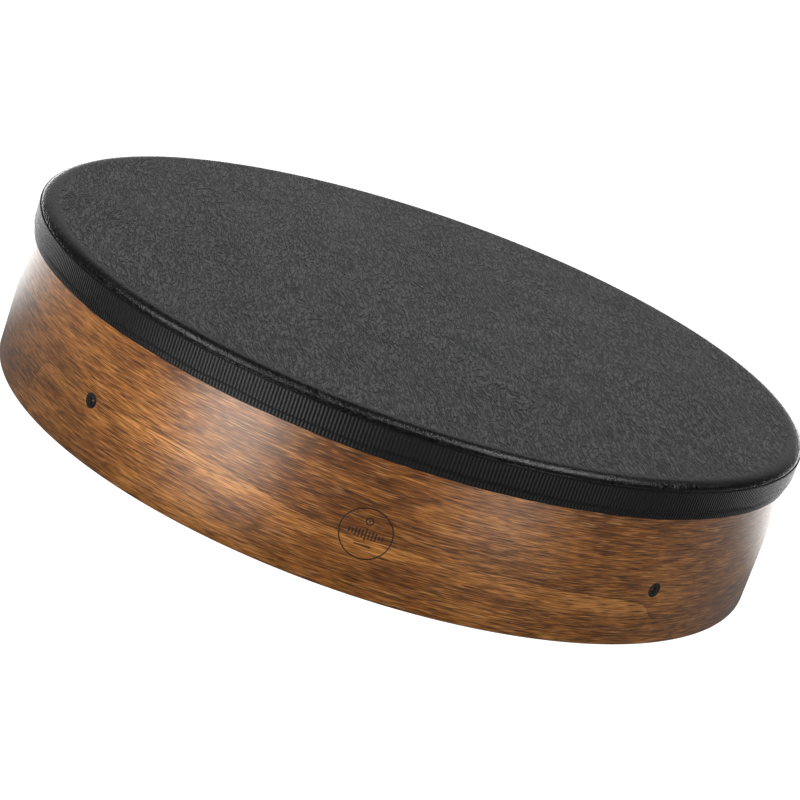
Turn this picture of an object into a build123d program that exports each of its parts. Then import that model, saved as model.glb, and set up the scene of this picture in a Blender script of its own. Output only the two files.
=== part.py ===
"""A deep hand-held frame drum, 20 x 4 in: a five-ply laminated wooden shell, a one-piece
synthetic head lapped over the bearing edge, a woven cover ribbon round the lap, and a
half-lapped crossbar grip held by four countersunk screws.

Frame: +Z up, towards the playing surface. The drum lies on its open back edge, which is the
plane z = 0. The drum's axis is the Z axis. The engraved ring faces -Y.
All sizes are in millimetres.
"""

import math
import os

from build123d import *

# ------------------------------------------------------------------ driving dimensions
SHELL_OUT_R = 254.0  # 20 in shell
PLY_COUNT = 5
PLY_T = 1.8
SHELL_T = PLY_COUNT * PLY_T  # 9 mm wall
SHELL_IN_R = SHELL_OUT_R - SHELL_T
SHELL_H = 104.8  # back edge to bearing edge
BACK_ROUND = 2.0  # round on both corners of the back edge
BEARING_ROUND_IN = 1.0
BEARING_CREST_R = 246.3  # outside this radius the bearing edge falls away in a quarter ellipse
BEARING_DROP = 3.8  # height of that quarter ellipse
BEARING_A = SHELL_OUT_R - BEARING_CREST_R
BEARING_Z = SHELL_H - BEARING_DROP
SEAM_GAP = 0.2  # glue line of each ply's butt joint
SEAM_ANGLES = [97.0, 21.0, 165.0, 309.0, 237.0]  # staggered round the shell, outer ply first

HEAD_T = 1.2  # synthetic leather on a textile backing
HEAD_TOP = SHELL_H + HEAD_T
SKIRT_BOTTOM = 89.6  # where the lapped skirt of the head ends

RIBBON_T = 0.8
RIBBON_TOP = 102.2
RIBBON_BOTTOM = 83.6
RIBBON_STEP_H = 2.4  # height over which the ribbon steps in below the skirt
RIBBON_SEAM_GAP = 0.4
RIBBON_SEAM_ANGLE = 90.0

RING_R = 15.75  # engraved ring on the outer ply
RING_W = 0.9
RING_DEPTH = 0.35
RING_Z = 38.5
RING_ANGLE = -90.0

BAR_W = 24.0
BAR_T = 17.0
BAR_ROUND = 5.0
BAR_Z = 37.0  # middle of both bars
BAR_HALF_ANGLE = 43.0  # each bar's end stands this far to one side of the -Y and +Y directions
BAR_ANGLES = [90.0 - BAR_HALF_ANGLE, 90.0 + BAR_HALF_ANGLE]

SCREW_HEAD_R = 4.5
SCREW_RIM_H = 0.4
SCREW_SHANK_R = 1.7
SCREW_L = 42.0
SCREW_POINT_L = 5.0
SCREW_SINK = 0.25  # head sits just under the surface
RECESS_SPAN = 4.6
RECESS_SLOT = 1.25
RECESS_DEPTH = 1.9
SCREW_ANGLES = [
    -90.0 - BAR_HALF_ANGLE,
    -90.0 + BAR_HALF_ANGLE,
    90.0 - BAR_HALF_ANGLE,
    90.0 + BAR_HALF_ANGLE,
]

os.makedirs("parts", exist_ok=True)


def on_wall(angle, z, r=0.0):
    """A plane whose normal points out of the drum at this angle, at radius r and height z."""
    a = math.radians(angle)
    return Plane(
        origin=(r * math.cos(a), r * math.sin(a), z),
        x_dir=(-math.sin(a), math.cos(a), 0),
        z_dir=(math.cos(a), math.sin(a), 0),
    )


# ------------------------------------------------------------------ screws
# One screw on the Z axis, head up, its top face at z = 0.
with BuildPart() as screw:
    with BuildSketch(Plane.XZ):
        with BuildLine():
            Polyline(
                (0, 0),
                (SCREW_HEAD_R, 0),
                (SCREW_HEAD_R, -SCREW_RIM_H),
                (SCREW_SHANK_R, -SCREW_RIM_H - (SCREW_HEAD_R - SCREW_SHANK_R)),
                (SCREW_SHANK_R, -SCREW_L + SCREW_POINT_L),
                (0.25, -SCREW_L),
                (0, -SCREW_L),
                close=True,
            )
        make_face()
    revolve(axis=Axis.Z)
    # tapered cross recess
    with BuildSketch(Plane.XY):
        Rectangle(RECESS_SPAN, RECESS_SLOT)
        Rectangle(RECESS_SLOT, RECESS_SPAN)
    with BuildSketch(Plane.XY.offset(-RECESS_DEPTH)):
        Rectangle(RECESS_SPAN * 0.45, RECESS_SLOT * 0.55)
        Rectangle(RECESS_SLOT * 0.55, RECESS_SPAN * 0.45)
    loft(mode=Mode.SUBTRACT)

# The same outline without the recess, which is the hole it cuts in the wood.
with BuildPart() as screw_hole:
    with BuildSketch(Plane.XZ):
        with BuildLine():
            Polyline(
                (0, 3.0),
                (SCREW_HEAD_R, 3.0),
                (SCREW_HEAD_R, -SCREW_RIM_H),
                (SCREW_SHANK_R, -SCREW_RIM_H - (SCREW_HEAD_R - SCREW_SHANK_R)),
                (SCREW_SHANK_R, -SCREW_L + SCREW_POINT_L),
                (0.25, -SCREW_L),
                (0, -SCREW_L),
                close=True,
            )
        make_face()
    revolve(axis=Axis.Z)

screw_planes = [on_wall(a, BAR_Z, SHELL_OUT_R - SCREW_SINK) for a in SCREW_ANGLES]
hole_tools = [p.location * screw_hole.part for p in screw_planes]

# ------------------------------------------------------------------ shell plies
# The engraved ring: a short tube along the wall's normal, limited to the ply's skin.
with BuildPart() as ring_cut:
    with BuildSketch(on_wall(RING_ANGLE, RING_Z, SHELL_OUT_R - 6.0)):
        Circle(RING_R)
        Circle(RING_R - RING_W, mode=Mode.SUBTRACT)
    extrude(amount=12.0)
    Cylinder(
        SHELL_OUT_R - RING_DEPTH,
        4 * SHELL_H,
        mode=Mode.SUBTRACT,
    )

PLY_NAMES = ["outer_ply", "outer_core_ply", "middle_core_ply", "inner_core_ply", "inner_ply"]

plies = []
for i, name in enumerate(PLY_NAMES):
    r_hi = SHELL_OUT_R - i * PLY_T
    r_lo = r_hi - PLY_T
    with BuildPart() as ply:
        # the whole wall's section with its rounded edges, narrowed to this ply
        with BuildSketch(Plane.XZ):
            with BuildLine():
                Polyline(
                    (SHELL_IN_R, BACK_ROUND),
                    (SHELL_IN_R, SHELL_H - BEARING_ROUND_IN),
                )
                RadiusArc(
                    (SHELL_IN_R, SHELL_H - BEARING_ROUND_IN),
                    (SHELL_IN_R + BEARING_ROUND_IN, SHELL_H),
                    BEARING_ROUND_IN,
                )
                Polyline(
                    (SHELL_IN_R + BEARING_ROUND_IN, SHELL_H),
                    (BEARING_CREST_R, SHELL_H),
                )
                EllipticalCenterArc(
                    (BEARING_CREST_R, BEARING_Z), BEARING_A, BEARING_DROP, 0, arc_size=90
                )
                Polyline(
                    (SHELL_OUT_R, BEARING_Z),
                    (SHELL_OUT_R, BACK_ROUND),
                )
                RadiusArc(
                    (SHELL_OUT_R, BACK_ROUND),
                    (SHELL_OUT_R - BACK_ROUND, 0),
                    BACK_ROUND,
                )
                Polyline(
                    (SHELL_OUT_R - BACK_ROUND, 0),
                    (SHELL_IN_R + BACK_ROUND, 0),
                )
                RadiusArc(
                    (SHELL_IN_R + BACK_ROUND, 0),
                    (SHELL_IN_R, BACK_ROUND),
                    BACK_ROUND,
                )
            make_face()
            with Locations(((r_lo + r_hi) / 2, SHELL_H / 2)):
                Rectangle(PLY_T, SHELL_H + 20, mode=Mode.INTERSECT)
        revolve(axis=Axis.Z)
        # the strip's butt joint
        with BuildSketch(on_wall(SEAM_ANGLES[i], SHELL_H / 2, r_lo - 3)):
            Rectangle(SEAM_GAP, SHELL_H + 20)
        extrude(amount=PLY_T + 6, mode=Mode.SUBTRACT)
        for tool in hole_tools:
            add(tool, mode=Mode.SUBTRACT)
        if i == 0:
            add(ring_cut.part, mode=Mode.SUBTRACT)
    ply.part.label = name
    export_step(ply.part, f"parts/{name}.step")
    plies.append(ply.part)

# ------------------------------------------------------------------ head
# One moulded piece: a flat disc, a shoulder that turns over the bearing edge, and a skirt.
with BuildPart() as drumhead:
    with BuildSketch(Plane.XZ):
        with BuildLine():
            Polyline(
                (0, SHELL_H),
                (0, HEAD_TOP),
                (BEARING_CREST_R, HEAD_TOP),
            )
            EllipticalCenterArc(
                (BEARING_CREST_R, BEARING_Z), BEARING_A + HEAD_T, BEARING_DROP + HEAD_T, 0, arc_size=90
            )
            Polyline(
                (SHELL_OUT_R + HEAD_T, BEARING_Z),
                (SHELL_OUT_R + HEAD_T, SKIRT_BOTTOM),
                (SHELL_OUT_R, SKIRT_BOTTOM),
                (SHELL_OUT_R, BEARING_Z),
            )
            EllipticalCenterArc((BEARING_CREST_R, BEARING_Z), BEARING_A, BEARING_DROP, 0, arc_size=90)
            Line((BEARING_CREST_R, SHELL_H), (0, SHELL_H))
        make_face()
    revolve(axis=Axis.Z)
drumhead.part.label = "drumhead"
export_step(drumhead.part, "parts/drumhead.step")

# ------------------------------------------------------------------ cover ribbon
# It hides the lap of the head: wide over the skirt, then a step in to the bare shell.
skirt_r = SHELL_OUT_R + HEAD_T
with BuildPart() as cover_ribbon:
    with BuildSketch(Plane.XZ):
        with BuildLine():
            Polyline(
                (skirt_r, RIBBON_TOP - 0.2),
                (skirt_r, SKIRT_BOTTOM),
                (SHELL_OUT_R + 0.02, SKIRT_BOTTOM - RIBBON_STEP_H),
                (SHELL_OUT_R, SKIRT_BOTTOM - RIBBON_STEP_H - 0.4),
                (SHELL_OUT_R, RIBBON_BOTTOM),
                (SHELL_OUT_R + RIBBON_T, RIBBON_BOTTOM),
                (SHELL_OUT_R + RIBBON_T, SKIRT_BOTTOM - RIBBON_STEP_H),
                (skirt_r + RIBBON_T, SKIRT_BOTTOM + 0.2),
                (skirt_r + RIBBON_T, RIBBON_TOP - 0.2),
                (skirt_r + RIBBON_T - 0.2, RIBBON_TOP),
                (skirt_r + 0.2, RIBBON_TOP),
                close=True,
            )
        make_face()
    revolve(axis=Axis.Z)
    with BuildSketch(on_wall(RIBBON_SEAM_ANGLE, (RIBBON_TOP + RIBBON_BOTTOM) / 2, SHELL_OUT_R - 3)):
        Rectangle(RIBBON_SEAM_GAP, RIBBON_TOP - RIBBON_BOTTOM + 10)
    extrude(amount=10, mode=Mode.SUBTRACT)
cover_ribbon.part.label = "cover_ribbon"
export_step(cover_ribbon.part, "parts/cover_ribbon.step")

# ------------------------------------------------------------------ crossbar grip
# Two bars cross at half their thickness. Their ends follow the inside of the shell.
for name, angle, other, notch_side in (
    ("crossbar_lower", BAR_ANGLES[0], BAR_ANGLES[1], 1),
    ("crossbar_upper", BAR_ANGLES[1], BAR_ANGLES[0], -1),
):
    with BuildPart() as bar:
        with BuildSketch(on_wall(angle, BAR_Z, -SHELL_OUT_R)):
            RectangleRounded(BAR_W, BAR_T, BAR_ROUND)
        extrude(amount=2 * SHELL_OUT_R)
        Cylinder(SHELL_IN_R, 4 * SHELL_H, mode=Mode.INTERSECT)
        # half-lap notch along the other bar and as wide as it
        with BuildSketch(
            Plane(
                origin=(0, 0, BAR_Z),
                x_dir=(math.cos(math.radians(other)), math.sin(math.radians(other)), 0),
                z_dir=(0, 0, notch_side),
            )
        ):
            Rectangle(BAR_W * 4, BAR_W)
        extrude(amount=BAR_T, mode=Mode.SUBTRACT)
        for tool in hole_tools:
            add(tool, mode=Mode.SUBTRACT)
    bar.part.label = name
    export_step(bar.part, f"parts/{name}.step")

# ------------------------------------------------------------------ the four screws
crossbar_screws = Compound(children=[p.location * screw.part for p in screw_planes])
crossbar_screws.label = "crossbar_screws"
export_step(crossbar_screws, "parts/crossbar_screws.step")
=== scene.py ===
import math

import bpy
import numpy as np
from mathutils import Matrix, Vector


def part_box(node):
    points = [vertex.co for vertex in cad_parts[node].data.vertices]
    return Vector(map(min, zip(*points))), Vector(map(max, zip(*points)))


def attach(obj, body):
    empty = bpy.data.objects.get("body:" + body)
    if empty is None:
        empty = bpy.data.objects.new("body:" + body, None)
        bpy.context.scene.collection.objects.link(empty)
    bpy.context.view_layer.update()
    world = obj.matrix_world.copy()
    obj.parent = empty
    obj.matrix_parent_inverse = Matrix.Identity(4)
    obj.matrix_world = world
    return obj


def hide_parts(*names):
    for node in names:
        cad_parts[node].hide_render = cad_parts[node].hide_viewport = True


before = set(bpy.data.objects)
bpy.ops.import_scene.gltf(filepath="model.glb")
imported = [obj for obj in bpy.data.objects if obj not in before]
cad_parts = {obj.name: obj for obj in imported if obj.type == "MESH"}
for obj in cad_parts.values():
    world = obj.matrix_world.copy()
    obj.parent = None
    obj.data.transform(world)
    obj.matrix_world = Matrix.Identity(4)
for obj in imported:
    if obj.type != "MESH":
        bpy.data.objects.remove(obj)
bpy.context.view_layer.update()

MM = 0.001

# ------------------------------------------------------------------ sizes, read from the frame
wall_lo, wall_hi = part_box("outer_ply")
head_lo, head_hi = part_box("drumhead")
rib_lo, rib_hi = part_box("cover_ribbon")
scr_lo, scr_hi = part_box("crossbar_screws")
core_lo, core_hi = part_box("middle_core_ply")

R_OUT = round(max(wall_hi.x, wall_hi.y), 3)  # 254 mm
SHELL_H = round(core_hi.z, 4)  # 104.8 mm
HEAD_TOP = round(head_hi.z, 4)  # 106 mm
HEAD_R = round(max(head_hi.x, head_hi.y), 4)  # 255.2 mm
SKIRT_Z = round(head_lo.z, 4)  # 89.6 mm
RIBBON_R = round(max(rib_hi.x, rib_hi.y), 4)  # 256 mm
RIBBON_Z0 = round(rib_lo.z, 4)  # 83.6 mm
RIBBON_Z1 = round(rib_hi.z, 4)  # 102.2 mm
SCREW_Z = round((scr_lo.z + scr_hi.z) / 2, 4)  # 37 mm
PLY = 1.8 * MM
HEAD_T = HEAD_TOP - SHELL_H
RIBBON_T = 0.8 * MM
RING_Z = 38.5 * MM
RING_R = 15.75 * MM
RING_DEG = -90.0
SCREW_DEGS = (-133.0, -47.0, 47.0, 133.0)
SEAM_DEGS = (97.0, 21.0, 165.0, 309.0, 237.0)
BAR_DEGS = (47.0, 133.0)
HEAD_SCREW_R = 4.5 * MM
SCREW_TOP_R = R_OUT - 0.25 * MM
R_IN = R_OUT - 5 * PLY
CREST_R = 246.3 * MM  # outside this radius the bearing edge falls away in a quarter ellipse
EDGE_A = R_OUT - CREST_R
EDGE_B = 3.8 * MM
EDGE_Z = SHELL_H - EDGE_B


# ------------------------------------------------------------------ mesh helpers
def link(ob):
    bpy.context.scene.collection.objects.link(ob)
    return ob


def mesh_object(name, verts, faces, smooth=True):
    me = bpy.data.meshes.new(name)
    me.from_pydata([tuple(v) for v in verts], [], [tuple(f) for f in faces])
    me.polygons.foreach_set("use_smooth", [smooth] * len(me.polygons))
    me.update()
    return link(bpy.data.objects.new(name, me))


def on_cyl(deg, r, z):
    t = np.radians(deg)
    return np.stack(np.broadcast_arrays(r * np.cos(t), r * np.sin(t), z), axis=-1)


def arc(cr, cz, rad, a0, a1, n):
    """Points (r, z) on a circular arc about (cr, cz), angles in degrees."""
    return [
        (cr + rad * math.cos(math.radians(a0 + (a1 - a0) * i / n)),
         cz + rad * math.sin(math.radians(a0 + (a1 - a0) * i / n)))
        for i in range(n + 1)
    ]


def ellipse(grow, a0, a1, n):
    """Points (r, z) on the bearing edge's quarter ellipse, or on one grown by the head's thickness."""
    return [
        (CREST_R + (EDGE_A + grow) * math.cos(math.radians(a0 + (a1 - a0) * i / n)),
         EDGE_Z + (EDGE_B + grow) * math.sin(math.radians(a0 + (a1 - a0) * i / n)))
        for i in range(n + 1)
    ]


def volume(verts, faces):
    v = np.asarray(verts)
    total = 0.0
    for f in faces:
        for k in range(1, len(f) - 1):
            total += float(np.dot(v[f[0]], np.cross(v[f[k]], v[f[k + 1]])))
    return total / 6


class Builder:
    """Collects vertices and faces."""

    def __init__(self):
        self.v, self.f, self.tag = [], [], {}

    def add(self, points, tag=0.0):
        start = len(self.v)
        for p in points:
            self.v.append(tuple(float(x) for x in p))
        if tag:
            for k in range(start, len(self.v)):
                self.tag[k] = tag
        return list(range(start, len(self.v)))

    def bridge(self, a, b):
        """Quads between two closed loops of equal length."""
        n = len(a)
        for k in range(n):
            self.f.append((a[k], a[(k + 1) % n], b[(k + 1) % n], b[k]))

    def finer(self, a, b):
        """From loop a to loop b, which has twice as many points and starts at the same place."""
        n = len(a)
        for k in range(n):
            a0, a1 = a[k], a[(k + 1) % n]
            b0, bm, b1 = b[2 * k], b[2 * k + 1], b[(2 * k + 2) % (2 * n)]
            self.f += [(a0, bm, b0), (a0, a1, bm), (a1, b1, bm)]

    def coarser(self, a, b):
        """From loop a to loop b, which has half as many points."""
        n = len(b)
        for k in range(n):
            b0, b1 = b[k], b[(k + 1) % n]
            a0, am, a1 = a[2 * k], a[2 * k + 1], a[(2 * k + 2) % (2 * n)]
            self.f += [(a0, am, b0), (am, b1, b0), (am, a1, b1)]

    def fan(self, a, centre):
        n = len(a)
        for k in range(n):
            self.f.append((a[k], a[(k + 1) % n], centre))

    def flip(self, start, end=None):
        end = len(self.f) if end is None else end
        for k in range(start, end):
            self.f[k] = tuple(reversed(self.f[k]))

    def object(self, name):
        return mesh_object(name, self.v, self.f)


def lathe(name, profile, degs, radial=None):
    """A closed ring: profile is a closed list of (r, z), turned through the angles degs.
    radial(i, degs) may give a change of radius for profile point i at each angle."""
    P, n = len(profile), len(degs)
    v = []
    for i, (r, z) in enumerate(profile):
        dr = radial(i, degs) if radial else 0.0
        v.append(on_cyl(degs, r + dr, z))
    v = np.concatenate(v)
    j = np.arange(n)
    jn = (j + 1) % n
    f = []
    for i in range(P):
        k = (i + 1) % P
        f.append(np.stack([i * n + j, i * n + jn, k * n + jn, k * n + j], axis=1))
    f = np.concatenate(f)
    # the profile's own direction decides which way the faces look
    area = sum(
        profile[i][0] * profile[(i + 1) % P][1] - profile[(i + 1) % P][0] * profile[i][1]
        for i in range(P)
    )
    if area < 0:
        f = f[:, ::-1]
    return mesh_object(name, v.tolist(), f.tolist())


def point_attribute(ob, name, values):
    a = ob.data.attributes.new(name, "FLOAT", "POINT")
    a.data.foreach_set("value", np.asarray(values, np.float32))


# ------------------------------------------------------------------ camera
CAM_AZ, CAM_EL, CAM_ROLL = math.radians(-2.22), math.radians(17.45), math.radians(19.37)
CAM_D, CAM_CX, CAM_CY, CAM_FOC = 6.6349 * R_OUT, 0.0147 * R_OUT, 0.0779 * R_OUT, 2600.0
back = Vector((math.sin(CAM_AZ) * math.cos(CAM_EL), -math.cos(CAM_AZ) * math.cos(CAM_EL), math.sin(CAM_EL)))
fwd = -back
rgt = fwd.cross(Vector((0, 0, 1))).normalized()
up = rgt.cross(fwd)
rgt2 = math.cos(CAM_ROLL) * rgt + math.sin(CAM_ROLL) * up
up2 = -math.sin(CAM_ROLL) * rgt + math.cos(CAM_ROLL) * up
eye = Vector((0, 0, 0.060)) + back * CAM_D - rgt2 * CAM_CX - up2 * CAM_CY
cam_data = bpy.data.cameras.new("camera")
cam_data.sensor_width = 36.0
cam_data.sensor_fit = "HORIZONTAL"
cam_data.lens = CAM_FOC * 36.0 / 800.0
cam_data.clip_start, cam_data.clip_end = 0.05, 60.0
cam = link(bpy.data.objects.new("camera", cam_data))
m = Matrix.Identity(4)
for k in range(3):
    m[k][0], m[k][1], m[k][2], m[k][3] = rgt2[k], up2[k], back[k], eye[k]
cam.matrix_world = m
bpy.context.scene.camera = cam


# ------------------------------------------------------------------ material helpers
class Nodes:
    """Builds a material's node tree. A number or a socket may stand for any input."""

    def __init__(self, name):
        self.mat = bpy.data.materials.new(name)
        self.mat.use_nodes = True
        self.t = self.mat.node_tree
        self.t.nodes.clear()
        self.out = self.t.nodes.new("ShaderNodeOutputMaterial")
        self.bsdf = self.t.nodes.new("ShaderNodeBsdfPrincipled")
        self.t.links.new(self.bsdf.outputs[0], self.out.inputs["Surface"])
        self._object = None

    def put(self, socket, value):
        if isinstance(value, bpy.types.NodeSocket):
            self.t.links.new(value, socket)
        else:
            if socket.type == "RGBA" and len(value) == 3:
                value = (*value, 1.0)
            socket.default_value = value

    def set(self, **values):
        names = {
            "color": "Base Color", "rough": "Roughness", "metal": "Metallic", "ior": "IOR",
            "spec": "Specular IOR Level", "normal": "Normal", "coat": "Coat Weight",
            "coat_rough": "Coat Roughness", "coat_ior": "Coat IOR", "coat_normal": "Coat Normal",
            "sheen": "Sheen Weight", "sheen_rough": "Sheen Roughness", "sheen_tint": "Sheen Tint",
            "aniso": "Anisotropic", "tint": "Specular Tint",
        }
        for k, value in values.items():
            self.put(self.bsdf.inputs[names[k]], value)

    def math(self, op, a, b=0.0, c=0.0, clamp=False):
        n = self.t.nodes.new("ShaderNodeMath")
        n.operation, n.use_clamp = op, clamp
        self.put(n.inputs[0], a)
        if len(n.inputs) > 1:
            self.put(n.inputs[1], b)
        if len(n.inputs) > 2:
            self.put(n.inputs[2], c)
        return n.outputs[0]

    def add(self, a, b): return self.math("ADD", a, b)
    def sub(self, a, b): return self.math("SUBTRACT", a, b)
    def mul(self, a, b): return self.math("MULTIPLY", a, b)

    def where(self):
        if self._object is None:
            n = self.t.nodes.new("ShaderNodeTexCoord")
            self._object = n.outputs["Object"]
        return self._object

    def xyz(self, v):
        n = self.t.nodes.new("ShaderNodeSeparateXYZ")
        self.put(n.inputs[0], v)
        return n.outputs

    def vec(self, x, y, z=0.0):
        n = self.t.nodes.new("ShaderNodeCombineXYZ")
        for s, value in zip(n.inputs, (x, y, z)):
            self.put(s, value)
        return n.outputs[0]

    def noise(self, v, scale=1.0, detail=2.0, rough=0.5, distortion=0.0, kind="FBM"):
        n = self.t.nodes.new("ShaderNodeTexNoise")
        n.noise_dimensions = "3D"
        n.noise_type = kind
        self.put(n.inputs["Vector"], v)
        self.put(n.inputs["Scale"], scale)
        self.put(n.inputs["Detail"], detail)
        self.put(n.inputs["Roughness"], rough)
        self.put(n.inputs["Distortion"], distortion)
        return n.outputs["Fac"]

    def voronoi(self, v, scale=1.0, feature="F1", randomness=1.0):
        n = self.t.nodes.new("ShaderNodeTexVoronoi")
        n.feature = feature
        self.put(n.inputs["Vector"], v)
        self.put(n.inputs["Scale"], scale)
        self.put(n.inputs["Randomness"], randomness)
        return n.outputs["Distance"]

    def range(self, value, a0, a1, b0=0.0, b1=1.0, smooth=False):
        n = self.t.nodes.new("ShaderNodeMapRange")
        n.interpolation_type = "SMOOTHSTEP" if smooth else "LINEAR"
        n.clamp = True
        for s, x in zip(n.inputs[:5], (value, a0, a1, b0, b1)):
            self.put(s, x)
        return n.outputs[0]

    def ramp(self, fac, stops, mode="LINEAR"):
        n = self.t.nodes.new("ShaderNodeValToRGB")
        n.color_ramp.interpolation = mode
        e = n.color_ramp.elements
        while len(e) < len(stops):
            e.new(0.5)
        for el, (pos, col) in zip(e, stops):
            el.position = pos
            el.color = (*col, 1.0) if len(col) == 3 else col
        self.put(n.inputs[0], fac)
        return n.outputs["Color"]

    def mix(self, fac, a, b, mode="MIX"):
        n = self.t.nodes.new("ShaderNodeMix")
        n.data_type = "RGBA"
        n.blend_type = mode
        self.put(n.inputs["Factor"], fac)
        self.put(n.inputs[6], a)
        self.put(n.inputs[7], b)
        return n.outputs[2]

    def bump(self, height, strength, distance, normal=None):
        n = self.t.nodes.new("ShaderNodeBump")
        self.put(n.inputs["Strength"], strength)
        self.put(n.inputs["Distance"], distance)
        self.put(n.inputs["Height"], height)
        if normal is not None:
            self.put(n.inputs["Normal"], normal)
        return n.outputs[0]

    def attribute(self, name):
        n = self.t.nodes.new("ShaderNodeAttribute")
        n.attribute_type = "GEOMETRY"
        n.attribute_name = name
        return n.outputs["Fac"]


def srgb(r, g, b):
    """An 8-bit sRGB colour as linear numbers."""
    return tuple(((c / 255 + 0.055) / 1.055) ** 2.4 if c > 10 else c / 255 / 12.92 for c in (r, g, b))


# ------------------------------------------------------------------ wood
def around(g, seam_deg, radius):
    """Coordinates along the wall (metres, zero opposite the butt joint), up it, and through it."""
    x, y, z = g.xyz(g.where())[:3]
    a = math.radians(seam_deg + 180.0)
    # angle from direction a, which jumps only at the butt joint
    along = g.add(g.mul(x, math.cos(a)), g.mul(y, math.sin(a)))
    across = g.sub(g.mul(y, math.cos(a)), g.mul(x, math.sin(a)))
    u = g.mul(g.math("ARCTAN2", across, along), radius)
    depth = g.sub(g.math("SQRT", g.add(g.mul(x, x), g.mul(y, y))), radius)
    return u, z, depth


def wood_value(g, u, v, w, seed, rings=1.0, bands=0.5):
    """Grain of a sliced veneer: fibres along u, growth bands with one sharp side, mottling.
    Returns (tone 0..1, fibre height 0..1, fine height)."""
    def at(su, sv, sw, off):
        return g.vec(g.add(g.mul(u, su), off), g.add(g.mul(v, sv), off * 1.7), g.mul(w, sw))

    wander = g.noise(at(2.6, 9.0, 9.0, seed), 1.0, 2.0, 0.45)
    wander2 = g.noise(at(11.0, 40.0, 40.0, seed + 5.3), 1.0, 1.0, 0.4)
    f = g.add(g.mul(v, 20.0 * rings), g.add(g.mul(wander, 6.4), g.mul(wander2, 0.5)))
    band = g.math("FRACT", f)
    growth = g.add(g.range(band, 0.0, 0.93, 1.0, 0.0, smooth=True), g.range(band, 0.965, 1.0, 0.0, 1.0))
    # waves across the fibres, a faint curl that makes pale and dark flames
    flame = g.noise(at(30.0, 62.0, 62.0, seed + 6.6), 1.0, 2.0, 0.5, 0.5)
    mottle = g.noise(at(15.0, 60.0, 60.0, seed + 2.1), 1.0, 3.0, 0.55, 0.3)
    blotch = g.noise(at(4.5, 15.0, 15.0, seed + 8.0), 1.0, 1.0, 0.5)
    fibre = g.noise(at(62.0, 1450.0, 1450.0, seed + 3.7), 1.0, 2.0, 0.6, 0.6)
    fine = g.noise(at(170.0, 2500.0, 2500.0, seed + 11.0), 1.0, 1.0, 0.5, 0.3)
    soft = g.noise(at(20.0, 380.0, 380.0, seed + 17.0), 1.0, 2.0, 0.5, 0.4)
    tone = g.add(
        g.mul(growth, 0.14 * bands),
        g.add(
            g.add(g.mul(g.range(mottle, 0.3, 0.7), 0.12),
                  g.add(g.mul(g.range(blotch, 0.3, 0.7), 0.15), g.mul(g.range(flame, 0.3, 0.7), 0.07))),
            g.add(g.mul(g.range(fibre, 0.28, 0.72), 0.42),
                  g.add(g.mul(g.range(fine, 0.25, 0.75), 0.09), g.mul(g.range(soft, 0.3, 0.7), 0.09))),
        ),
    )
    return tone, fibre, fine


WARM = [
    (0.25, (0.020, 0.0056, 0.0007)),
    (0.40, (0.066, 0.0205, 0.0027)),
    (0.50, (0.122, 0.0415, 0.0064)),
    (0.60, (0.196, 0.0740, 0.0135)),
    (0.76, (0.340, 0.1460, 0.0360)),
]

# where the ring's growth line runs: (distance along the wall from the ring, height over its middle), mm
GROWTH_LINE = [(-250, -9), (-244, -2), (-232, 0), (-209, 0), (-190, 0), (-157, 3.4), (-105, 5.0), (-71, 2.5),
               (-40, -1.6), (-15, -3.3), (2, -3.4), (18, -2.6), (39, -3.9), (52, -6.4), (60, -6.2), (70, -3.0),
               (90, -3.2), (121, -5.3), (157, -7.4), (176, -9.2), (188, -12.5), (195, -19.0)]


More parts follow.
